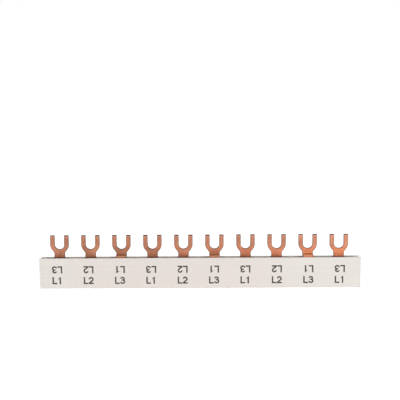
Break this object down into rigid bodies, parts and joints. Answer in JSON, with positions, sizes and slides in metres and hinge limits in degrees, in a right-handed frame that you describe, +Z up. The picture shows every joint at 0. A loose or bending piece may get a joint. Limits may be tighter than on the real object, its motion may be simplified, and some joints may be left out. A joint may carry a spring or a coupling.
{
  "type": "three-phase comb busbar with fork terminals",
  "caption": "Comb busbar for a row of circuit breakers: pale insulating channel with three copper combs, whose forks stand up in one row and take turns by phase.",
  "frame": {"origin": "centre of the underside of the insulating profile", "axes": "+X along the bar towards the last fork, +Z up towards the fork tips, the lettered face looks towards -Y"},
  "size_m": [0.183, 0.0074, 0.03],
  "materials": {
    "insulation": "pale warm grey, satin, extruded",
    "copper": "bare stamped copper, satin",
    "print": "dark grey pad print of the phase marks"
  },
  "bodies": {
    "root": {"insulating_profile": "insulation", "comb_l1": "copper", "comb_l2": "copper", "comb_l3": "copper"}
  },
  "joints": []
}
